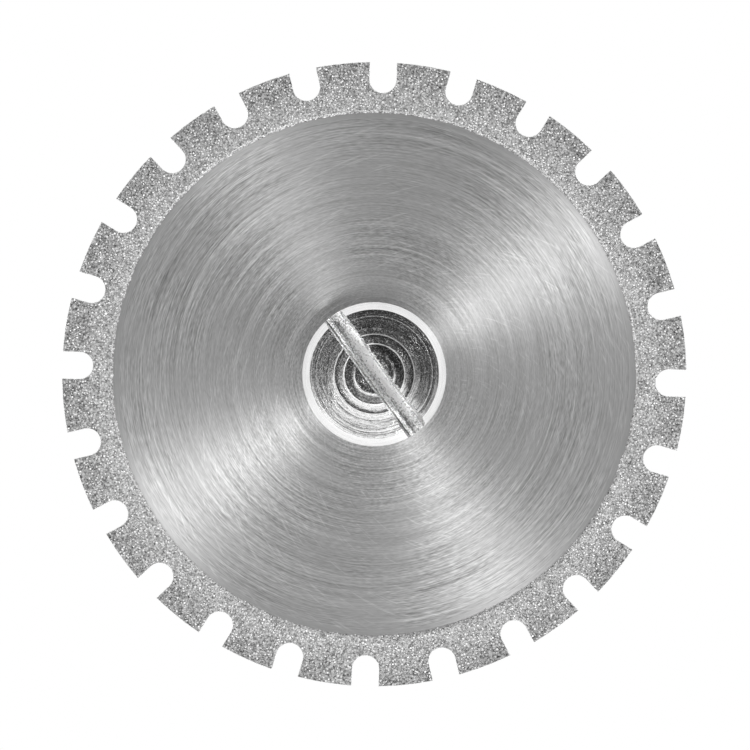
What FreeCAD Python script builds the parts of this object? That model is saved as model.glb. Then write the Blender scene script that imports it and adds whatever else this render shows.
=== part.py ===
import FreeCAD, Part
import math
import os
from FreeCAD import Vector

# A double-sided diamond cutting disc, clamped by a slotted screw to a mandrel with a plain shank.
# Each piece is drawn about +Z with its front up, and with the back of the steel disc at Z 0. It is
# then set in the part's own frame: the front faces -Y, +Z is up, and the origin is the middle of
# the shank's free end. All sizes are in mm, and angles are in degrees, anticlockwise from +X as
# the front is seen.

# Diamond-coated rim
disc_diameter = 22.0
coating_thickness = 0.08
coating_width = 1.68
gullet_count = 24
gullet_width = 0.98
gullet_depth = 1.09
first_gullet_angle = 88.3

# Steel disc
blank_thickness = 0.18
shoulder_clearance = 0.025

# Screw
head_diameter = 5.07
head_height = 0.9
head_chamfer = 0.26
head_foot_chamfer = 0.08
slot_width = 0.68
slot_floor_width = 0.56
slot_depth = 0.6
slot_angle = -54.0
outer_ring_fall = 0.17
outer_step_diameter = 2.78
inner_step_diameter = 2.08
step_height = 0.04
dimple_diameter = 1.0
dimple_depth = 0.04
shoulder_diameter = 1.8
shoulder_length = 0.5
thread_diameter = 1.6
thread_length = 3.0
thread_end_chamfer = 0.2

# Mandrel
collar_diameter = 5.0
collar_thickness = 1.1
collar_edge_chamfer = 0.15
neck_diameter = 3.9
neck_length = 3.6
shank_diameter = 2.35
shank_length = 38.3
shank_end_chamfer = 0.3
thread_clearance = 0.02
hole_spare_depth = 0.7
drill_point_angle = 118.0

full_turn = 360.0
centre = Vector(0, 0, 0)
tool_axis = Vector(0, 0, 1)


def run(*stations):
    """Straight edges in the XZ plane from each (radius, height) station to the next."""
    points = [Vector(radius, 0, height) for radius, height in stations]
    return [Part.LineSegment(a, b).toShape() for a, b in zip(points, points[1:])]


def turned(edges):
    """A solid turned about the tool's axis from a closed chain of edges in the XZ plane."""
    return Part.Face(Part.Wire(edges)).revolve(centre, tool_axis, full_turn)


def toothed_face(rim_radius, gullet_half_width, gullet_floor_radius):
    """A flat disc whose rim is cut by evenly spaced gullets with parallel walls and a round floor."""
    pitch = full_turn / gullet_count
    mouth_radius = math.sqrt(rim_radius**2 - gullet_half_width**2)
    mouth_half_angle = math.degrees(math.asin(gullet_half_width / rim_radius))
    bend_radius = gullet_floor_radius + gullet_half_width

    def at(angle, outward, sideways=0.0):
        turn = math.radians(angle)
        return Vector(
            outward * math.cos(turn) - sideways * math.sin(turn),
            outward * math.sin(turn) + sideways * math.cos(turn),
            0,
        )

    edges = []
    for index in range(gullet_count):
        angle = first_gullet_angle + index * pitch
        mouth_in = at(angle, mouth_radius, -gullet_half_width)
        bend_in = at(angle, bend_radius, -gullet_half_width)
        floor = at(angle, gullet_floor_radius)
        bend_out = at(angle, bend_radius, gullet_half_width)
        mouth_out = at(angle, mouth_radius, gullet_half_width)
        tooth_middle = at(angle + pitch / 2, rim_radius)
        next_mouth = at(angle + pitch - mouth_half_angle, rim_radius)
        edges.append(Part.LineSegment(mouth_in, bend_in).toShape())
        edges.append(Part.Arc(bend_in, floor, bend_out).toShape())
        edges.append(Part.LineSegment(bend_out, mouth_out).toShape())
        edges.append(Part.Arc(mouth_out, tooth_middle, next_mouth).toShape())
    return Part.Face(Part.Wire(edges))


def disc_blank():
    """Thin steel disc with its bore, toothed like the rim but smaller all round by the coating."""
    rim_radius = disc_diameter / 2 - coating_thickness
    gullet_half_width = gullet_width / 2 + coating_thickness
    gullet_floor_radius = rim_radius - gullet_depth
    bore_radius = shoulder_diameter / 2 + shoulder_clearance
    plate = toothed_face(rim_radius, gullet_half_width, gullet_floor_radius).extrude(
        tool_axis * blank_thickness
    )
    return plate.cut(Part.makeCylinder(bore_radius, blank_thickness))


def diamond_coating(blank):
    """Plated layer round the rim: on both faces, over the edge and down every gullet's walls."""
    rim_radius = disc_diameter / 2
    back = -coating_thickness * tool_axis
    total_thickness = blank_thickness + 2 * coating_thickness
    layer = toothed_face(rim_radius, gullet_width / 2, rim_radius - gullet_depth).extrude(
        tool_axis * total_thickness
    )
    layer.translate(back)
    window = Part.makeCylinder(rim_radius - coating_width, total_thickness, back)
    return layer.cut(window).cut(blank)


def screwdriver_slot(face, head_radius):
    """What the cutter takes out right across the head: a flat floor between walls that lean out."""
    floor = face - slot_depth
    corners = (
        Vector(-head_radius, -slot_floor_width / 2, floor),
        Vector(-head_radius, slot_floor_width / 2, floor),
        Vector(-head_radius, slot_width / 2, face),
        Vector(-head_radius, -slot_width / 2, face),
    )
    section = Part.Face(Part.makePolygon([*corners, corners[0]]))
    slot = section.extrude(Vector(head_diameter, 0, 0))
    slot.rotate(centre, tool_axis, slot_angle)
    return slot


def clamp_screw():
    """Turned screw: low slotted head, highest in the middle, a shoulder for the disc, then the thread."""
    seat = blank_thickness
    face = seat + head_height
    head_radius = head_diameter / 2
    outer_step = outer_step_diameter / 2
    inner_step = inner_step_diameter / 2
    outer_ring_top = face - 2 * step_height
    outer_ring_edge = outer_ring_top - outer_ring_fall
    shoulder_radius = shoulder_diameter / 2
    shoulder_end = seat - shoulder_length
    thread_radius = thread_diameter / 2
    thread_end = shoulder_end - thread_length
    body = turned(
        run(
            (0, thread_end),
            (thread_radius - thread_end_chamfer, thread_end),
            (thread_radius, thread_end + thread_end_chamfer),
            (thread_radius, shoulder_end),
            (shoulder_radius, shoulder_end),
            (shoulder_radius, seat),
            (head_radius - head_foot_chamfer, seat),
            (head_radius, seat + head_foot_chamfer),
            (head_radius, outer_ring_edge - head_chamfer),
            (head_radius - head_chamfer, outer_ring_edge),
            (outer_step + step_height, outer_ring_top),
            (outer_step, face - step_height),
            (inner_step + step_height, face - step_height),
            (inner_step, face),
            (dimple_diameter / 2, face),
            (0, face - dimple_depth),
            (0, thread_end),
        )
    )
    return body.cut(screwdriver_slot(face, head_radius))


def mandrel():
    """One turned piece: collar, neck, plain shank, and a tapped blind hole with a shoulder recess."""
    collar_radius = collar_diameter / 2
    collar_back = -collar_thickness
    shank_radius = shank_diameter / 2
    shank_start = collar_back - neck_length
    shank_end = shank_start - shank_length
    recess_radius = shoulder_diameter / 2 + shoulder_clearance
    recess_floor = blank_thickness - shoulder_length - thread_clearance
    hole_radius = thread_diameter / 2 + thread_clearance
    hole_end = blank_thickness - shoulder_length - thread_length - hole_spare_depth
    drill_point = hole_end - hole_radius / math.tan(math.radians(drill_point_angle / 2))

    # The neck is one hollow arc, from the collar's back to where it meets the shank as a tangent.
    neck_radius = neck_diameter / 2
    neck_rise = neck_radius - shank_radius
    arc_radius = (neck_rise**2 + neck_length**2) / (2 * neck_rise)
    arc_half_angle = math.atan2(neck_length, arc_radius - neck_rise) / 2
    neck_top = Vector(neck_radius, 0, collar_back)
    neck_middle = Vector(
        shank_radius + arc_radius * (1 - math.cos(arc_half_angle)),
        0,
        shank_start + arc_radius * math.sin(arc_half_angle),
    )
    neck_foot = Vector(shank_radius, 0, shank_start)
    hole_and_collar = run(
        (0, drill_point),
        (hole_radius, hole_end),
        (hole_radius, recess_floor),
        (recess_radius, recess_floor),
        (recess_radius, 0),
        (collar_radius - collar_edge_chamfer, 0),
        (collar_radius, -collar_edge_chamfer),
        (collar_radius, collar_back + collar_edge_chamfer),
        (collar_radius - collar_edge_chamfer, collar_back),
        (neck_radius, collar_back),
    )
    neck = Part.Arc(neck_top, neck_middle, neck_foot).toShape()
    shank = run(
        (shank_radius, shank_start),
        (shank_radius, shank_end + shank_end_chamfer),
        (shank_radius - shank_end_chamfer, shank_end),
        (0, shank_end),
        (0, drill_point),
    )
    return turned([*hole_and_collar, neck, *shank])


def set_in_frame(piece):
    """Turns a piece so that its front faces -Y, and brings the shank's free end to the origin."""
    piece.rotate(centre, Vector(1, 0, 0), full_turn / 4)
    piece.translate(Vector(0, -(collar_thickness + neck_length + shank_length), 0))


blank = disc_blank()
pieces = {
    "disc_blank": blank,
    "diamond_coating": diamond_coating(blank),
    "clamp_screw": clamp_screw(),
    "mandrel": mandrel(),
}
os.makedirs("parts", exist_ok=True)
for name, piece in pieces.items():
    set_in_frame(piece)
    piece.exportStep(f"parts/{name}.step")
    print(name, "valid:", piece.isValid(), "volume in mm3:", round(piece.Volume, 4))
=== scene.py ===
import bmesh
import bpy
import math
import random
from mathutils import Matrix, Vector


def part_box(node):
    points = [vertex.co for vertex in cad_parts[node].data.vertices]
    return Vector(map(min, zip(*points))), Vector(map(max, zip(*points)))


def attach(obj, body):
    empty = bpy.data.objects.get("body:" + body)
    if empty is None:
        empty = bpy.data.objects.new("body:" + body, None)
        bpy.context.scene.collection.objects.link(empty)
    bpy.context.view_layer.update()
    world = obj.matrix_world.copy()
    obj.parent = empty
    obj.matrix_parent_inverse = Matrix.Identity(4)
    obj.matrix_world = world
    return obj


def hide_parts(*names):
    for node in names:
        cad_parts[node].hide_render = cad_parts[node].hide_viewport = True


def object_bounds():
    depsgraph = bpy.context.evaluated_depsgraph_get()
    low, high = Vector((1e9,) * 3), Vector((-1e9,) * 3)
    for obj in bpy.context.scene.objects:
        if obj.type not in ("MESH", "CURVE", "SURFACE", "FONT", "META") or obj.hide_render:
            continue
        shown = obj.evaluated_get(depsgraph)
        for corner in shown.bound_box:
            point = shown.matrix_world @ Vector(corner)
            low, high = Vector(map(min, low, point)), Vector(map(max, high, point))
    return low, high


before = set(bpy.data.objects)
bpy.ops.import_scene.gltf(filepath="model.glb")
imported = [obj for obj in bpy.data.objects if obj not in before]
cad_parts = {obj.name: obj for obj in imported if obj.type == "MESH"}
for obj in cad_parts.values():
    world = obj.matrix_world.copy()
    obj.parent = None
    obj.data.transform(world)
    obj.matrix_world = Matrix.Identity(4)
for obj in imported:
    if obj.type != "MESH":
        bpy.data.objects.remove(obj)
cad_bounds = [list(corner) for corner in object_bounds()]

# The mandrel is one piece, turned from steel bar and then ground: a collar that backs the disc,
# a hollow-curved neck, and the plain shank that the chuck grips. Its finish is bright, with the
# faint rings that the grinding wheel leaves round it.
MM = 0.001
ground_steel_colour = (0.60, 0.60, 0.61, 1.0)
ground_steel_roughness = 0.24
fine_ring_spacing = 0.05 * MM
wide_ring_spacing = 0.25 * MM


def add(tree, kind, inputs=None, **settings):
    """Adds a node to a tree. inputs gives each socket its value, or the socket that feeds it."""
    node = tree.nodes.new(kind)
    for name, value in settings.items():
        setattr(node, name, value)
    for socket, value in (inputs or {}).items():
        if isinstance(value, bpy.types.NodeSocket):
            tree.links.new(value, node.inputs[socket])
        else:
            node.inputs[socket].default_value = value
    return node


def math_node(tree, operation, *values, clamp=False):
    """The result of one sum on numbers or sockets."""
    node = add(
        tree, "ShaderNodeMath", dict(enumerate(values)), operation=operation, use_clamp=clamp
    )
    return node.outputs["Value"]


def vector_node(tree, operation, *values, result="Vector"):
    """The result of one sum on vectors or sockets."""
    node = add(tree, "ShaderNodeVectorMath", dict(enumerate(values)), operation=operation)
    return node.outputs[result]


def metal(name, colour, roughness):
    """A bare metal: its material, its node tree and its shader."""
    material = bpy.data.materials.new(name)
    material.use_nodes = True
    tree = material.node_tree
    shader = tree.nodes["Principled BSDF"]
    shader.inputs["Metallic"].default_value = 1.0
    shader.inputs["Base Color"].default_value = colour
    shader.inputs["Roughness"].default_value = roughness
    return material, tree, shader


def surface_point(tree):
    """Where a point of the surface lies in the part's frame."""
    return add(tree, "ShaderNodeTexCoord").outputs["Object"]


def about_axis(tree, point):
    """A point's distance from the axis, the way straight out to it, and how far along it lies."""
    across = vector_node(tree, "MULTIPLY", point, (1.0, 0.0, 1.0))
    radius = vector_node(tree, "LENGTH", across, result="Value")
    outward = vector_node(tree, "NORMALIZE", across)
    along = add(tree, "ShaderNodeSeparateXYZ", {0: point}).outputs["Y"]
    return radius, outward, along


def noise(tree, point, scale, detail, roughness=0.5):
    """Cloudy noise from 0 to 1."""
    inputs = {"Vector": point, "Scale": scale, "Detail": detail, "Roughness": roughness}
    return add(tree, "ShaderNodeTexNoise", inputs).outputs["Fac"]


def ring_marks(tree, about, round_scale, ring_scale, along_scale, detail=3.0, roughness=0.55):
    """Noise drawn out into arcs round the axis, from 0 to 1 and with no seam.

    The scales say how fine it is round the axis, straight out from it and along it.
    """
    radius, outward, along = about
    rings = math_node(tree, "MULTIPLY", radius, ring_scale)
    steps = math_node(tree, "MULTIPLY_ADD", along, along_scale, rings)
    level = add(tree, "ShaderNodeCombineXYZ", {"Y": steps}).outputs["Vector"]
    round_scales = (round_scale, 0.0, round_scale)
    point = vector_node(tree, "MULTIPLY_ADD", outward, round_scales, level)
    return noise(tree, point, 1.0, detail, roughness)


def bump(tree, shader, height, strength, distance):
    """Raises the surface by a height from 0 to 1, for its shading alone."""
    inputs = {"Height": height, "Strength": strength, "Distance": distance}
    normal = add(tree, "ShaderNodeBump", inputs).outputs["Normal"]
    tree.links.new(normal, shader.inputs["Normal"])


def tint(tree, shader, mark, low, high, dark, light, share=None):
    """Lets a mark shift the metal's colour between two greys, less or more by a second share."""
    grey = add(
        tree,
        "ShaderNodeMapRange",
        {"Value": mark, "From Min": low, "From Max": high, "To Min": dark, "To Max": light},
    ).outputs["Result"]
    if share:
        grey = math_node(tree, "MULTIPLY", grey, share, clamp=True)
    colour = add(tree, "ShaderNodeCombineColor", {0: grey, 1: grey, 2: grey}).outputs["Color"]
    tree.links.new(colour, shader.inputs["Base Color"])


material, tree, shader = metal("ground_steel", ground_steel_colour, ground_steel_roughness)
about = about_axis(tree, surface_point(tree))
fine_rings = ring_marks(
    tree,
    about,
    round_scale=2.0,
    ring_scale=1 / fine_ring_spacing,
    along_scale=1 / fine_ring_spacing,
)
wide_rings = ring_marks(
    tree,
    about,
    round_scale=0.8,
    ring_scale=1 / wide_ring_spacing,
    along_scale=1 / wide_ring_spacing,
)
marks = math_node(tree, "ADD", fine_rings, wide_rings)
tint(tree, shader, marks, low=0.7, high=1.3, dark=0.48, light=0.70)
bump(tree, shader, marks, strength=0.35, distance=0.004 * MM)
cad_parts["mandrel"].material_slots[0].material = material

# The disc is cut from thin spring steel and both its faces are ground in circles about the bore,
# so each face throws light in fans across the arcs. It is very slightly domed. A narrow band
# beside the coating was masked while the rim was plated, and has stayed smooth.
disc_steel_dark = 0.33
disc_steel_light = 0.89
disc_steel_roughness = 0.50
disc_steel_anisotropy = 0.88
disc_along_scale = 60000.0
mean_of_arcs = 1.5
stray_arcs = (((3.0 * MM, 0, -2.0 * MM), 0.20), ((-2.5 * MM, 0, 1.5 * MM), -0.08))
dome_slope = 0.075
wobble_slope = 0.05
masked_band_start = 9.0 * MM
masked_band_end = 9.06 * MM
masked_band_share = 0.3


def between(tree, value, low, high, low_result=0.0, high_result=1.0):
    """A smooth change from one result to the other while the value goes from low to high."""
    inputs = {
        "Value": value,
        "From Min": low,
        "From Max": high,
        "To Min": low_result,
        "To Max": high_result,
    }
    node = add(tree, "ShaderNodeMapRange", inputs, interpolation_type="SMOOTHSTEP")
    return node.outputs["Result"]


def scaled(tree, vector, factor):
    """A vector made longer or shorter by a factor."""
    inputs = {0: vector, "Scale": factor}
    return add(tree, "ShaderNodeVectorMath", inputs, operation="SCALE").outputs["Vector"]


def leaning(tree, outward, out_slope, round_slope):
    """The surface's own normal, leant outwards from the axis and round it by two small slopes."""
    normal = add(tree, "ShaderNodeNewGeometry").outputs["Normal"]
    side = vector_node(tree, "CROSS_PRODUCT", outward, (0.0, 1.0, 0.0))
    lean_out = scaled(tree, outward, out_slope)
    lean_round = scaled(tree, side, round_slope)
    lean = vector_node(tree, "ADD", lean_out, lean_round)
    return vector_node(tree, "NORMALIZE", vector_node(tree, "ADD", normal, lean))


def stray_scratches(tree, place, off_centre):
    """Fine arcs struck round a point beside the axis, so that they cross the others."""
    about = about_axis(tree, vector_node(tree, "SUBTRACT", place, off_centre))
    arcs = ring_marks(
        tree, about, round_scale=5.0, ring_scale=14000.0, along_scale=disc_along_scale, detail=1.0
    )
    return between(tree, arcs, low=0.60, high=0.74)


material, tree, shader = metal("circle_ground_steel", ground_steel_colour, disc_steel_roughness)
place = surface_point(tree)
about = about_axis(tree, place)
radius, outward, _ = about
streaks = ring_marks(
    tree,
    about,
    round_scale=1.5,
    ring_scale=5000.0,
    along_scale=disc_along_scale,
    detail=5.0,
    roughness=0.75,
)
long_arcs = ring_marks(
    tree, about, round_scale=1.0, ring_scale=19000.0, along_scale=disc_along_scale, detail=1.0
)
scratches = ring_marks(
    tree, about, round_scale=25.0, ring_scale=30000.0, along_scale=disc_along_scale, detail=1.0
)
arcs = math_node(tree, "ADD", math_node(tree, "ADD", streaks, long_arcs), scratches)
worked = noise(tree, place, scale=450.0, detail=1.0)
patches = between(tree, worked, low=0.36, high=0.64, low_result=0.55, high_result=1.15)
open_face = between(tree, radius, masked_band_start, masked_band_end, 1.0, masked_band_share)
share = math_node(tree, "MULTIPLY", patches, open_face)
open_arcs = math_node(tree, "MULTIPLY", math_node(tree, "SUBTRACT", arcs, mean_of_arcs), share)
for off_centre, strength in stray_arcs:
    stray = math_node(tree, "MULTIPLY", stray_scratches(tree, place, off_centre), strength)
    stray = math_node(tree, "MULTIPLY", stray, open_face)
    open_arcs = math_node(tree, "ADD", open_arcs, stray)
tint(tree, shader, open_arcs, low=-0.5, high=0.5, dark=disc_steel_dark, light=disc_steel_light)
shader.inputs["Anisotropic"].default_value = disc_steel_anisotropy
tree.links.new(outward, shader.inputs["Tangent"])
wobble = math_node(tree, "MULTIPLY", open_arcs, wobble_slope)
tree.links.new(leaning(tree, outward, dome_slope, wobble), shader.inputs["Normal"])
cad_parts["disc_blank"].material_slots[0].material = material

# The coating is a layer of nickel, plated on over the rim, that holds the diamond. Here is the
# nickel itself: matt, and uneven where it has crept up round the grains. It thins out towards the
# masked band in a low ragged slope.
nickel_roughness = 0.55
darkening_start = 9.3 * MM
darkening_end = 10.9 * MM
slope_foot = 9.225 * MM
slope_top = 9.33 * MM
slope_end = 9.40 * MM
slope_ragged = 0.02 * MM
slope_steps = 720


def turned_mesh(name, profile, steps, closed=False, ragged=None):
    """A mesh turned about the tool's axis from (radius, distance to the front) stations."""
    turning = bmesh.new()
    rings = []
    for radius, front in profile:
        count = 1 if radius == 0 else steps
        ring = []
        for step in range(count):
            reach = radius + (ragged(radius, step) if ragged else 0.0)
            turn = math.tau * step / steps
            ring.append(turning.verts.new((reach * math.cos(turn), -front, reach * math.sin(turn))))
        rings.append(ring)
    following = rings[1:] + rings[:1] if closed else rings[1:]
    for near, far in zip(rings, following):
        for step in range(steps):
            corners = (
                near[step % len(near)],
                near[(step + 1) % len(near)],
                far[(step + 1) % len(far)],
                far[step % len(far)],
            )
            turning.faces.new(dict.fromkeys(corners))
    bmesh.ops.recalc_face_normals(turning, faces=turning.faces)
    mesh = bpy.data.meshes.new(name)
    turning.to_mesh(mesh)
    turning.free()
    piece = bpy.data.objects.new(name, mesh)
    bpy.context.scene.collection.objects.link(piece)
    return piece


def coating_darkening(tree, radius, most):
    """How much darker the coating is by its distance out: most at the rim, and on its thin edge,
    where it is painted shade beside the step down to the steel.
    """
    rim_darkening = between(tree, radius, darkening_start, darkening_end, 0.0, most)
    # Painted shade on the thin edge, beside the step down to the steel.
    painted_edge_shade = between(tree, radius, slope_foot, slope_end, most, 0.0)
    return math_node(tree, "ADD", rim_darkening, painted_edge_shade)


nickel, tree, shader = metal("plated_nickel", ground_steel_colour, nickel_roughness)
place = surface_point(tree)
radius, _, _ = about_axis(tree, place)
lumps = noise(tree, place, scale=14000.0, detail=3.0, roughness=0.6)
# Darker towards the rim, with painted shade on the thin edge beside the steel.
shade = math_node(tree, "SUBTRACT", lumps, coating_darkening(tree, radius, most=0.08))
tint(tree, shader, shade, low=0.22, high=0.62, dark=0.04, light=0.82)
bump(tree, shader, lumps, strength=0.8, distance=0.02 * MM)
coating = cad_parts["diamond_coating"]
coating.material_slots[0].material = nickel

coating_low, coating_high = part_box("diamond_coating")
blank_low, blank_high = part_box("disc_blank")
chance = random.Random(9)


def ragged_foot(radius, step):
    """How far the foot of the slope strays at one step, while its top stays on the circle."""
    return chance.uniform(-slope_ragged, slope_ragged) if radius == slope_foot else 0.0


def dress(piece, material):
    """Gives a piece one material."""
    piece.data.materials.clear()
    piece.data.materials.append(material)


def plating_slope(name, steel_level, coating_level):
    """The thin edge of the plating on one face, from the steel's level up to the coating's."""
    profile = (
        (slope_foot, -steel_level),
        (slope_top, -coating_level),
        (slope_top, -steel_level),
    )
    piece = turned_mesh(name, profile, slope_steps, closed=True, ragged=ragged_foot)
    dress(piece, nickel)
    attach(piece, "root")
    return piece


front_slope = plating_slope("front_plating_edge", blank_low.y, coating_low.y)
back_slope = plating_slope("back_plating_edge", blank_high.y, coating_high.y)

# The diamond grains are blocky crystals of about a tenth of a millimetre. They lie close together
# in a single layer, each half sunk in the nickel, on both faces, round the edge and down the
# walls of every gullet.
grain_shapes = 8
grain_spacing = 0.076 * MM
scatter_tries = 4.0
grain_density = scatter_tries / grain_spacing**2
skin_margin = 0.035 * MM
grain_roughness = 0.57
cloud_strength = 1.3
cloud_base = 0.1
corner_reach = (0.72, 1.12)
corner_jitter = 0.16


def crystal(name, chance):
    """A block with eight jittered corners, about one unit from its middle to each."""
    block = bmesh.new()
    bmesh.ops.create_cube(block, size=2.0 / math.sqrt(3.0))
    for corner in block.verts:
        corner.co *= chance.uniform(*corner_reach)
        corner.co += Vector([chance.uniform(-corner_jitter, corner_jitter) for _ in range(3)])
    mesh = bpy.data.meshes.new(name)
    block.to_mesh(mesh)
    block.free()
    return bpy.data.objects.new(name, mesh)


chance = random.Random(22)
crystals = bpy.data.collections.new("crystals")
for index in range(grain_shapes):
    crystals.objects.link(crystal(f"crystal_{index}", chance))


def grit_tree():
    """Scatters crystals over a surface, turned every way, and marks each with its own shade."""
    tree = bpy.data.node_groups.new("grit", "GeometryNodeTree")
    interface = tree.interface
    interface.new_socket("Surface", in_out="INPUT", socket_type="NodeSocketGeometry")
    for name in ("Spacing", "Density", "Smallest", "Largest", "Lift"):
        interface.new_socket(name, in_out="INPUT", socket_type="NodeSocketFloat")
    interface.new_socket("Seed", in_out="INPUT", socket_type="NodeSocketInt")
    interface.new_socket("Crystals", in_out="INPUT", socket_type="NodeSocketCollection")
    interface.new_socket("Finish", in_out="INPUT", socket_type="NodeSocketMaterial")
    interface.new_socket("Grit", in_out="OUTPUT", socket_type="NodeSocketGeometry")
    given = add(tree, "NodeGroupInput").outputs
    scatter = add(
        tree,
        "GeometryNodeDistributePointsOnFaces",
        {
            "Mesh": given["Surface"],
            "Distance Min": given["Spacing"],
            "Density Max": given["Density"],
            "Seed": given["Seed"],
        },
        distribute_method="POISSON",
    )
    lift = scaled(tree, scatter.outputs["Normal"], given["Lift"])
    lifted = add(
        tree, "GeometryNodeSetPosition", {"Geometry": scatter.outputs["Points"], "Offset": lift}
    ).outputs["Geometry"]
    shapes = add(
        tree,
        "GeometryNodeCollectionInfo",
        {"Collection": given["Crystals"], "Separate Children": True, "Reset Children": True},
    ).outputs["Instances"]
    turn = add(
        tree,
        "FunctionNodeRandomValue",
        {"Min": (0.0, 0.0, 0.0), "Max": (math.tau, math.tau, math.tau), "Seed": given["Seed"]},
        data_type="FLOAT_VECTOR",
    ).outputs["Value"]
    size = add(tree, "FunctionNodeRandomValue", {"Seed": given["Seed"]}, data_type="FLOAT")
    tree.links.new(given["Smallest"], size.inputs[2])
    tree.links.new(given["Largest"], size.inputs[3])
    placed = add(
        tree,
        "GeometryNodeInstanceOnPoints",
        {"Points": lifted, "Instance": shapes, "Pick Instance": True, "Rotation": turn},
    )
    tree.links.new(size.outputs[1], placed.inputs["Scale"])
    shade = add(
        tree, "FunctionNodeRandomValue", {"Seed": given["Seed"]}, data_type="FLOAT"
    ).outputs[1]
    marked = add(
        tree,
        "GeometryNodeStoreNamedAttribute",
        {"Geometry": placed.outputs["Instances"], "Name": "shade", "Value": shade},
        data_type="FLOAT",
        domain="INSTANCE",
    ).outputs["Geometry"]
    whole = add(tree, "GeometryNodeRealizeInstances", {"Geometry": marked}).outputs["Geometry"]
    finished = add(
        tree, "GeometryNodeSetMaterial", {"Geometry": whole, "Material": given["Finish"]}
    ).outputs["Geometry"]
    add(tree, "NodeGroupOutput", {"Grit": finished})
    return tree


grit_finish, tree, shader = metal("diamond_in_nickel", ground_steel_colour, grain_roughness)
shade = add(tree, "ShaderNodeAttribute", attribute_name="shade").outputs["Fac"]
place = surface_point(tree)
radius, _, _ = about_axis(tree, place)
clouds = noise(tree, place, scale=2500.0, detail=2.0)
clouds = math_node(tree, "MULTIPLY_ADD", clouds, cloud_strength, cloud_base)
# Darker towards the rim, with painted shade on the thin edge beside the steel.
dulled = coating_darkening(tree, radius, most=0.18)
shade = math_node(tree, "ADD", shade, math_node(tree, "SUBTRACT", clouds, dulled))
tint(tree, shader, shade, low=0.45, high=1.35, dark=0.12, light=0.81)
grit_nodes = grit_tree()


def skin(name, source, wanted, margin):
    """The faces of a piece that pass a test, less a margin, as a mesh for grains to stand on."""
    surface = bmesh.new()
    surface.from_mesh(source.data)
    bmesh.ops.remove_doubles(surface, verts=surface.verts, dist=0.0001 * MM)
    unwanted = [face for face in surface.faces if not wanted(face)]
    bmesh.ops.delete(surface, geom=unwanted, context="FACES")
    if margin:
        border = bmesh.ops.inset_region(
            surface, faces=surface.faces, thickness=margin, use_boundary=True, use_even_offset=True
        )
        bmesh.ops.delete(surface, geom=border["faces"], context="FACES")
    mesh = bpy.data.meshes.new(name)
    surface.to_mesh(mesh)
    surface.free()
    piece = bpy.data.objects.new(name, mesh)
    bpy.context.scene.collection.objects.link(piece)
    return piece


def grit(name, seed, sizes, source, wanted, margin=0.0):
    """One piece of grit, on the faces of a piece that pass a test."""
    piece = skin(name, source, wanted, margin)
    modifier = piece.modifiers.new("grit", "NODES")
    modifier.node_group = grit_nodes
    smallest, largest, lift = sizes
    values = {
        "Spacing": grain_spacing,
        "Density": grain_density,
        "Smallest": smallest,
        "Largest": largest,
        "Lift": lift,
        "Seed": seed,
        "Crystals": crystals,
        "Finish": grit_finish,
    }
    for socket in grit_nodes.interface.items_tree:
        if socket.name in values:
            modifier[socket.identifier] = values[socket.name]
    result = piece.evaluated_get(bpy.context.evaluated_depsgraph_get())
    mesh = bpy.data.meshes.new_from_object(result)
    piece.modifiers.clear()
    piece.data = mesh
    dress(piece, grit_finish)
    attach(piece, "root")


# Levels this close are the same, and a slope's normal leans at least this far to the axis.
close = 0.001 * MM
slope_facing = 0.3


def levels(face):
    """The lowest and the highest place along the axis that a face reaches."""
    places = [corner.co.y for corner in face.verts]
    return min(places), max(places)


def on_front(face):
    return levels(face)[1] < coating_low.y + close


def on_back(face):
    return levels(face)[0] > coating_high.y - close


def on_edge(face):
    """The rim and the gullets' walls, from the front face to the back one."""
    low, high = levels(face)
    return low < coating_low.y + close and high > coating_high.y - close


def on_slope(face):
    low, high = levels(face)
    return abs(face.normal.y) > slope_facing and high - low > close


# The smallest and the largest grain of each kind, and how far they are lifted off the surface.
face_grain = (0.030 * MM, 0.050 * MM, 0.006 * MM)
edge_grain = (0.022 * MM, 0.034 * MM, -0.006 * MM)
slope_grain = (0.024 * MM, 0.040 * MM, -0.004 * MM)
grit("front_grit", 3, face_grain, coating, on_front, skin_margin)
grit("back_grit", 5, face_grain, coating, on_back, skin_margin)
grit("edge_grit", 7, edge_grain, coating, on_edge)
grit("front_slope_grit", 11, slope_grain, front_slope, on_slope)
grit("back_slope_grit", 13, slope_grain, back_slope, on_slope)

# The screw is turned from steel bar, and its head is what the front shows: a polished chamfer,
# its colour painted near white as a painted reflection, round a darker face with the tool's rings
# and two steps, and a slot that a cutter has milled right across.
screw_low, screw_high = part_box("clamp_screw")
head_radius = screw_high.x
face_level = -screw_low.y
head_seat = -blank_low.y
screw_end = -screw_high.y
turned_steps = 384

# Stations of the head's face, as a radius and how far below its middle it lies. It is stepped, and
# falls away outwards from ring to ring, with the tool's fine grooves in the wide outer ring.
face_stations = (
    (2.275, 0.272),
    (2.150, 0.245),
    (2.130, 0.246),
    (2.125, 0.241),
    (2.069, 0.232),
    (2.049, 0.234),
    (2.042, 0.227),
    (1.945, 0.210),
    (1.925, 0.211),
    (1.920, 0.206),
    (1.646, 0.157),
    (1.626, 0.159),
    (1.620, 0.153),
    (1.500, 0.131),
    (1.432, 0.117),
    (1.392, 0.079),
    (1.360, 0.082),
    (1.250, 0.069),
    (1.160, 0.057),
    (1.090, 0.045),
    (1.050, 0.015),
    (1.035, 0.017),
    (0.800, 0.010),
    (0.745, 0.008),
    (0.690, 0.000),
    (0.650, 0.001),
    (0.580, 0.012),
    (0.480, 0.014),
    (0.250, 0.032),
    (0.000, 0.036),
)
ring_edge_radius, ring_edge_depth = (size * MM for size in face_stations[0])
chamfer = head_radius - ring_edge_radius
chamfer_foot = ring_edge_depth + chamfer
shoulder_radius = 0.9 * MM
shoulder_end = head_seat - 0.5 * MM
thread_radius = 0.8 * MM
point = 0.2 * MM
foot = 0.08 * MM
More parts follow.
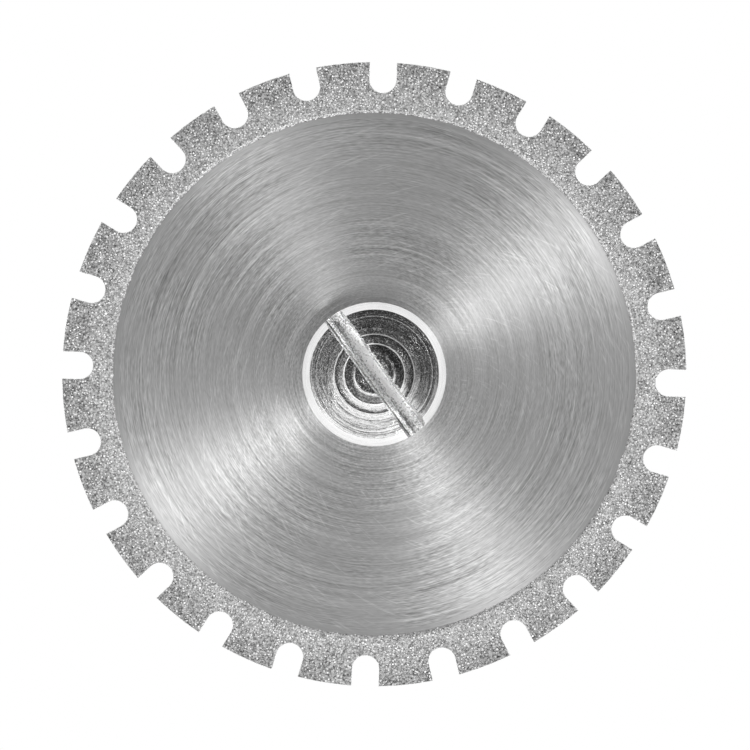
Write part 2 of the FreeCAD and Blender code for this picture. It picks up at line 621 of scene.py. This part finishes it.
profile = [
    (0.0, screw_end),
    (thread_radius - point, screw_end),
    (thread_radius, screw_end + point),
    (thread_radius, shoulder_end),
    (shoulder_radius, shoulder_end),
    (shoulder_radius, head_seat),
    (head_radius - foot, head_seat),
    (head_radius, head_seat + foot),
    (head_radius, face_level - chamfer_foot),
]
profile += [(radius * MM, face_level - depth * MM) for radius, depth in face_stations]
screw = turned_mesh("slotted_screw", profile, turned_steps)

# The slot's section, from the upper right edge to the lower left one, as a distance from the
# slot's own line and a depth. The first two depths are below the face as it falls away, where the
# burr lies, and the rest are below the face's middle. The floor slopes, with a ridge beside it.
burr_stations = 2
slot_section = (
    (-0.405, 0.000),
    (-0.340, 0.012),
    (-0.300, 0.520),
    (-0.110, 0.571),
    (0.075, 0.602),
    (0.110, 0.575),
    (0.235, 0.532),
    (0.280, 0.556),
    (0.350, 0.532),
)
flare_shares = (0.5, 0.75, 0.3) + (0.0,) * 6
slot_angle = math.radians(-54.0)
slot_direction = Vector((math.cos(slot_angle), 0, math.sin(slot_angle)))
slot_side = Vector((slot_direction.z, 0, -slot_direction.x))
slot_stations = 200
slot_overhang = 0.4 * MM
cutter_top = 0.5 * MM
cutter_lean = 0.05 * MM
section_ragged = 0.002
burr_ragged = (0.040 * MM, 0.012 * MM)
right_flare = 0.24 * MM
right_flare_start = 0.2
left_flare = 0.07 * MM
left_flare_start = -0.28
left_flare_fade = 0.06


def flare(place):
    """How far the upper right edge stands further out towards each end of the slot."""
    share = place / head_radius
    right_end = max(0.0, share - right_flare_start)
    left_end = min(1.0, max(0.0, (left_flare_start - share) / left_flare_fade))
    return right_flare * right_end + left_flare * left_end


def face_depth(place):
    """How far the face has fallen away at a distance from its middle."""
    reach = abs(place) / MM
    for (outer, outer_depth), (inner, inner_depth) in zip(face_stations, face_stations[1:]):
        if inner <= reach <= outer:
            part = (reach - inner) / (outer - inner)
            return (inner_depth + part * (outer_depth - inner_depth)) * MM
    return min(ring_edge_depth + reach * MM - ring_edge_radius, chamfer_foot)


cutter_mesh = bmesh.new()
chance = random.Random(54)
loops = []
for step in range(slot_stations + 1):
    place = (head_radius + slot_overhang) * (2 * step / slot_stations - 1)
    section = []
    for index, (side, depth) in enumerate(slot_section):
        side = side * MM
        depth = depth * MM + chance.uniform(-section_ragged, section_ragged) * MM
        side -= flare(place) * flare_shares[index]
        if index < burr_stations:
            side -= chance.uniform(-1, 1) * burr_ragged[index]
            depth += face_depth(place)
        section.append((side, depth))
    section.insert(0, (section[0][0] - cutter_lean, -cutter_top))
    section.append((section[-1][0], -cutter_top))
    loops.append(
        [
            cutter_mesh.verts.new(
                slot_direction * place + slot_side * side + Vector((0, depth - face_level, 0))
            )
            for side, depth in section
        ]
    )
for near, far in zip(loops, loops[1:]):
    for index in range(len(near)):
        following = (index + 1) % len(near)
        cutter_mesh.faces.new((near[index], near[following], far[following], far[index]))
cutter_mesh.faces.new(loops[0])
cutter_mesh.faces.new(list(reversed(loops[-1])))
bmesh.ops.recalc_face_normals(cutter_mesh, faces=cutter_mesh.faces)
mesh = bpy.data.meshes.new("slot_cutter")
cutter_mesh.to_mesh(mesh)
cutter_mesh.free()
cutter = bpy.data.objects.new("slot_cutter", mesh)
bpy.context.scene.collection.objects.link(cutter)

# The turned face is dark, with the tool's fine rings broken up by chatter, by specks that lean
# away from the light, and by matt spots. A painted highlight doubles its colour on the lower left
# side of the slot's upper right edge, so it is half as bright beyond that edge. Its colour is also
# painted lighter and darker ring by ring, with painted highlights on the thin bright rings at the
# steps and grooves and painted shade on the dark rings between: here is how bright it is painted
# from its middle outwards, as a distance in mm and a share.
chatter_slope = 0.14
speck_slope = 1.0
turned_roughness = 0.18
matt_roughness = 0.34
turned_anisotropy = 0.20
face_along_scale = 3000.0
patch_strength = 0.3
grain_strength = 0.8
unlit_side_edge = -0.80 * MM
lit_side_edge = -0.42 * MM
lit_side_highlight = 2.0
# Painted highlights on the thin bright rings, painted shade on the dark ones.
painted_ring_light = (
    (0.00, 1.60),
    (0.42, 1.60),
    (0.49, 1.20),
    (0.56, 0.50),
    (0.63, 0.50),
    (0.68, 1.00),
    (0.76, 0.95),
    (0.81, 0.46),
    (1.02, 0.44),
    (1.06, 1.10),
    (1.10, 1.20),
    (1.25, 1.20),
    (1.30, 0.90),
    (1.335, 0.60),
    (1.365, 0.45),
    (1.39, 0.90),
    (1.43, 0.85),
    (1.48, 1.05),
    (1.56, 0.95),
    (1.58, 1.50),
    (1.60, 1.50),
    (1.62, 0.86),
    (2.00, 0.90),
    (2.02, 1.80),
    (2.04, 1.80),
    (2.07, 0.85),
    (2.28, 0.85),
)
# How far the shading leans outwards over the same way, where the rings are rounded off.
ring_slopes = (
    (0.00, 0.00),
    (0.64, 0.00),
    (0.69, 0.16),
    (0.84, 0.14),
    (0.90, 0.13),
    (1.00, 0.16),
    (1.04, 0.00),
    (1.08, 0.08),
    (1.25, 0.07),
    (1.30, 0.04),
    (1.38, 0.00),
    (1.43, 0.06),
    (1.60, 0.03),
    (2.28, 0.03),
)
# How bright the slot's colour is painted across it, from the upper right to the lower left, as a
# distance from the slot's own line in mm and a share: painted highlights on its sloping floor and
# ledge, painted shade in the dark lines along it.
painted_slot_light = (
    (-0.60, 0.85),
    (-0.36, 0.80),
    (-0.30, 0.95),
    (-0.24, 1.30),
    (-0.11, 1.36),
    (-0.06, 1.16),
    (0.02, 0.80),
    (0.07, 0.52),
    (0.12, 0.68),
    (0.15, 0.78),
    (0.22, 0.72),
    (0.26, 0.32),
    (0.29, 0.30),
    (0.32, 0.42),
    (0.36, 0.48),
)


def bands(tree, place, shares):
    """A value that changes from band to band over a distance, from (mm, value) stops."""
    first, last = shares[0][0], shares[-1][0]
    part = add(
        tree, "ShaderNodeMapRange", {"Value": place, "From Min": first * MM, "From Max": last * MM}
    ).outputs["Result"]
    ramp = add(tree, "ShaderNodeValToRGB", {"Fac": part})
    strongest = max(share for _, share in shares)
    stops = ramp.color_ramp.elements
    while len(stops) < len(shares):
        stops.new(0.5)
    for stop, (distance, _) in zip(stops, shares):
        stop.position = (distance - first) / (last - first)
    for stop, (_, share) in zip(stops, shares):
        grey = share / strongest
        stop.color = (grey, grey, grey, 1.0)
    return math_node(tree, "MULTIPLY", ramp.outputs["Color"], strongest)


turned_finish, tree, shader = metal("turned_steel", ground_steel_colour, turned_roughness)
place = surface_point(tree)
about = about_axis(tree, place)
radius, outward, _ = about
rings = ring_marks(
    tree, about, round_scale=2.0, ring_scale=17000.0, along_scale=face_along_scale, roughness=0.7
)
chatter = ring_marks(
    tree,
    about,
    round_scale=10.0,
    ring_scale=26000.0,
    along_scale=face_along_scale,
    detail=4.0,
    roughness=0.8,
)
grain = noise(tree, place, scale=21000.0, detail=2.0, roughness=0.8)
patches = ring_marks(
    tree, about, round_scale=5.0, ring_scale=3500.0, along_scale=face_along_scale, detail=2.0
)
marks = math_node(tree, "ADD", rings, chatter)
tinted = math_node(tree, "MULTIPLY_ADD", patches, patch_strength, marks)
tinted = math_node(tree, "MULTIPLY_ADD", grain, grain_strength, tinted)
aside = vector_node(tree, "DOT_PRODUCT", place, slot_side, result="Value")
# Painted highlight: the colour doubles on the lower left side of the slot's upper right edge.
painted_side_highlight = between(tree, aside, unlit_side_edge, lit_side_edge, 1.0, lit_side_highlight)
# The rings' painted highlights and shade, times the painted side highlight.
share = math_node(tree, "MULTIPLY", bands(tree, radius, painted_ring_light), painted_side_highlight)
tint(tree, shader, tinted, low=1.10, high=1.80, dark=0.08, light=0.68, share=share)
spots = ring_marks(
    tree,
    about,
    round_scale=12.0,
    ring_scale=24000.0,
    along_scale=face_along_scale,
    detail=2.0,
    roughness=0.8,
)
dulled = between(tree, spots, 0.54, 0.66, turned_roughness, matt_roughness)
tree.links.new(dulled, shader.inputs["Roughness"])
shader.inputs["Anisotropic"].default_value = turned_anisotropy
tree.links.new(outward, shader.inputs["Tangent"])
specks = between(tree, grain, 0.60, 0.62, 0.0, speck_slope)
rounded = math_node(tree, "ADD", bands(tree, radius, ring_slopes), specks)
uneven = math_node(tree, "SUBTRACT", marks, 1.0)
out_slope = math_node(tree, "MULTIPLY_ADD", uneven, chatter_slope, rounded)
round_slope = math_node(tree, "MULTIPLY", math_node(tree, "SUBTRACT", chatter, 0.5), chatter_slope)
tree.links.new(leaning(tree, outward, out_slope, round_slope), shader.inputs["Normal"])

# The chamfer is polished, with only the faintest rings. Its colour is painted near white, a painted
# reflection of the bright surroundings.
chamfer_roughness = 0.18
painted_bright_chamfer, tree, shader = metal("bright_chamfer", ground_steel_colour, chamfer_roughness)
about = about_axis(tree, surface_point(tree))
rings = ring_marks(tree, about, round_scale=3.0, ring_scale=12000.0, along_scale=12000.0)
tint(tree, shader, rings, low=0.3, high=0.7, dark=0.86, light=0.98)

# The slot's cutter ran along it, so its streaks do too, and it is rough only across them. It is
# darker towards its ends. Painted shade darkens the wall that faces the lower left, and painted
# highlights and shade run in bands across the slot.
milled_roughness = 0.30
milled_anisotropy = 0.5
streak_scales = (2500.0, 6000.0, 17000.0)
pit_strength = 2.2
stripe_wander = 0.10 * MM
slot_end_start = 1.2 * MM
slot_end_full = 2.2 * MM

milled_finish, tree, shader = metal("milled_steel", ground_steel_colour, milled_roughness)
place = surface_point(tree)
turned_place = add(
    tree, "ShaderNodeMapping", {"Vector": place, "Rotation": (0.0, slot_angle, 0.0)}
).outputs["Vector"]
stretched = vector_node(tree, "MULTIPLY", turned_place, streak_scales)
streaks = noise(tree, stretched, scale=1.0, detail=4.0, roughness=0.75)
pits = noise(tree, place, scale=17000.0, detail=3.0, roughness=0.7)
marks = math_node(tree, "MULTIPLY_ADD", pits, pit_strength, streaks)
aside = vector_node(tree, "DOT_PRODUCT", place, slot_side, result="Value")
wander = math_node(tree, "SUBTRACT", streaks, 0.5)
aside = math_node(tree, "MULTIPLY_ADD", wander, stripe_wander, aside)
normal = add(tree, "ShaderNodeNewGeometry").outputs["Normal"]
facing = vector_node(tree, "DOT_PRODUCT", normal, slot_side, result="Value")
# Painted shade on the wall that faces the lower left.
painted_wall_shade = between(tree, facing, low=0.94, high=0.99, low_result=1.0, high_result=0.35)
lengthwise = vector_node(tree, "DOT_PRODUCT", place, slot_direction, result="Value")
lengthwise = math_node(tree, "ABSOLUTE", lengthwise)
end_share = between(tree, lengthwise, slot_end_start, slot_end_full, 1.18, 0.56)
share = math_node(tree, "MULTIPLY", bands(tree, aside, painted_slot_light), painted_wall_shade)
share = math_node(tree, "MULTIPLY", share, end_share)
tint(tree, shader, marks, low=1.3, high=1.9, dark=0.30, light=1.70, share=share)
shader.inputs["Anisotropic"].default_value = milled_anisotropy
crosswise = vector_node(tree, "CROSS_PRODUCT", normal, slot_direction)
tree.links.new(crosswise, shader.inputs["Tangent"])
bump(tree, shader, marks, strength=0.6, distance=0.01 * MM)

screw.data.materials.append(turned_finish)
screw.data.materials.append(painted_bright_chamfer)
cutter.data.materials.append(milled_finish)
for face in screw.data.polygons:
    if math.hypot(face.center.x, face.center.z) > ring_edge_radius:
        face.material_index = 1
cut = screw.modifiers.new("slot", "BOOLEAN")
cut.operation = "DIFFERENCE"
cut.object = cutter
cut.solver = "EXACT"
cut.material_mode = "TRANSFER"
mesh = bpy.data.meshes.new_from_object(screw.evaluated_get(bpy.context.evaluated_depsgraph_get()))
screw.modifiers.clear()
screw.data = mesh
bpy.data.objects.remove(cutter)
smooth_below = math.radians(9.0)
shaping = bmesh.new()
shaping.from_mesh(screw.data)
for face in shaping.faces:
    face.smooth = True
for edge in shaping.edges:
    if len(edge.link_faces) == 2:
        edge.smooth = edge.calc_face_angle() < smooth_below
shaping.to_mesh(screw.data)
shaping.free()
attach(screw, "root")
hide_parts("clamp_screw")

# The studio: a pale floor below, white all round, a dark opening round the lens, and soft lamps.
floor_gap = 8.0 * MM
floor_radius = 50.0 * MM
floor_middle = 2.0 * MM
floor_grey = (0.5, 0.5, 0.5, 1.0)
floor_glow = 0.75
surround_light = 0.6
surround_glow = 0.4
white = (1.0, 1.0, 1.0, 1.0)
circle_steps = 96
disc_radius = coating_high.x

floor_mesh = bmesh.new()
bmesh.ops.create_circle(floor_mesh, cap_ends=True, segments=circle_steps, radius=floor_radius)
for corner in floor_mesh.verts:
    corner.co += Vector((0, floor_middle, -disc_radius - floor_gap))
mesh = bpy.data.meshes.new("floor")
floor_mesh.to_mesh(mesh)
floor_mesh.free()
floor = bpy.data.objects.new("floor", mesh)
bpy.context.scene.collection.objects.link(floor)

floor_material = bpy.data.materials.new("pale_floor")
floor_material.use_nodes = True
tree = floor_material.node_tree
tree.nodes.clear()


def seen(tree):
    """1 for the rays that show the background, straight or in metal and glass, or else 0."""
    rays = add(tree, "ShaderNodeLightPath").outputs
    direct = math_node(tree, "MAXIMUM", rays["Is Camera Ray"], rays["Is Glossy Ray"])
    return math_node(tree, "MAXIMUM", direct, rays["Is Transmission Ray"])


matt = add(tree, "ShaderNodeBsdfDiffuse", {"Color": floor_grey}).outputs["BSDF"]
strength = math_node(tree, "MULTIPLY", seen(tree), floor_glow)
glow = add(tree, "ShaderNodeEmission", {"Color": white, "Strength": strength}).outputs["Emission"]
surface = add(tree, "ShaderNodeAddShader", {0: matt, 1: glow}).outputs["Shader"]
add(tree, "ShaderNodeOutputMaterial", {"Surface": surface})
floor.data.materials.append(floor_material)

world = bpy.data.worlds.new("studio")
bpy.context.scene.world = world
world.use_nodes = True
tree = world.node_tree
tree.nodes.clear()
strength = math_node(tree, "MULTIPLY_ADD", seen(tree), surround_glow, surround_light)
background = add(
    tree, "ShaderNodeBackground", {"Color": white, "Strength": strength}
).outputs["Background"]
add(tree, "ShaderNodeOutputWorld", {"Surface": background})

# Bare metal shows what is round it, so it gets dark cards that only reflections see. A round one by
# the lens lies a little above it, so the lower side of the screw's sloping rings looks past its
# edge, and its twin stands behind. A long one hangs over the shank.
card_distance = 150.0 * MM
card_radius = 101.0 * MM
card_soft_edge = 5.0 * MM
card_size = 115.0 * MM
card_lift = 44.0 * MM
card_dark = 0.07
card_light = 1.0
long_card_height = 45.0 * MM
long_card_width = 16.0 * MM
long_card_start = -32.0 * MM
long_card_end = 20.0 * MM
front_y = cad_bounds[0][1]
front, back = -1, 1


def dark_card(name, corners):
    """A flat card on the stage that only glossy rays see. Its node tree and its shader's inputs."""
    mesh = bpy.data.meshes.new(name)
    mesh.from_pydata(corners, [], [range(len(corners))])
    card = bpy.data.objects.new(name, mesh)
    bpy.context.scene.collection.objects.link(card)
    card.visible_camera = False
    card.visible_diffuse = False
    card.visible_shadow = False
    card.visible_transmission = False
    material = bpy.data.materials.new(name)
    material.use_nodes = True
    tree = material.node_tree
    tree.nodes.clear()
    emission = add(tree, "ShaderNodeEmission", {"Color": white, "Strength": card_dark})
    add(tree, "ShaderNodeOutputMaterial", {"Surface": emission.outputs["Emission"]})
    card.data.materials.append(material)
    return tree, emission


def round_card(name, end):
    """A dark disc with a soft light edge, in front of one end of the tool."""
    middle = Vector((0, front_y + end * card_distance, card_lift))
    turns = [math.tau * step / circle_steps for step in range(circle_steps)]
    corners = [middle + card_size * Vector((math.cos(turn), 0, math.sin(turn))) for turn in turns]
    tree, emission = dark_card(name, corners)
    from_middle = vector_node(tree, "DISTANCE", surface_point(tree), middle, result="Value")
    edge_start, edge_end = card_radius - card_soft_edge, card_radius + card_soft_edge
    glow = between(tree, from_middle, edge_start, edge_end, card_dark, card_light)
    tree.links.new(glow, emission.inputs["Strength"])


round_card("front_card", front)
round_card("back_card", back)
dark_card(
    "long_card",
    [
        (side * long_card_width / 2, place, long_card_height)
        for side, place in (
            (-1, long_card_start),
            (1, long_card_start),
            (1, long_card_end),
            (-1, long_card_end),
        )
    ],
)

lamp_distance = 350.0 * MM
lamp_size = 90.0 * MM
lamp_off_axis = math.radians(55.0)
lamps = (("upper", 33.0, 0.29), ("lower", 213.0, 0.29), ("side", 300.0, 0.37))
disc_middle = Vector((0, coating_low.y, 0))


def lamp(name, end, round_angle, power):
    """A square soft lamp that faces one side of the disc, from an angle round the tool's axis."""
    turn = math.radians(round_angle)
    away = Vector(
        (
            math.sin(lamp_off_axis) * math.cos(turn),
            end * math.cos(lamp_off_axis),
            math.sin(lamp_off_axis) * math.sin(turn),
        )
    )
    data = bpy.data.lights.new(name, "AREA")
    data.shape = "SQUARE"
    data.size = lamp_size
    data.energy = power
    light = bpy.data.objects.new(name, data)
    light.location = disc_middle + away * lamp_distance
    light.rotation_euler = away.to_track_quat("Z", "Y").to_euler()
    bpy.context.scene.collection.objects.link(light)


for end_name, end in (("front", front), ("back", back)):
    for lamp_name, round_angle, power in lamps:
        lamp(f"{end_name}_{lamp_name}_lamp", end, round_angle, power)

# The camera looks straight at the disc's face, far off and with a long lens, as in the photograph.
picture_width = 750
disc_width_pixels = 624.03
disc_width_mm = 22.0
pixels_per_mm = disc_width_pixels / disc_width_mm
disc_pixel = (374.28, 374.18)
camera_distance = 250.0 * MM
sensor = 36.0
view_width = picture_width / pixels_per_mm * MM
camera_data = bpy.data.cameras.new("camera")
camera_data.sensor_width = sensor
camera_data.lens = sensor * camera_distance / view_width
camera_data.clip_start = 10.0 * MM
camera_data.clip_end = 3.0
camera = bpy.data.objects.new("camera", camera_data)
pixel = MM / pixels_per_mm
camera.location = (
    (picture_width / 2 - disc_pixel[0]) * pixel,
    coating_low.y - camera_distance,
    (disc_pixel[1] - picture_width / 2) * pixel,
)
camera.rotation_euler = (math.radians(90.0), 0, 0)
bpy.context.scene.collection.objects.link(camera)
bpy.context.scene.camera = camera
bpy.context.scene.view_settings.view_transform = "Standard"
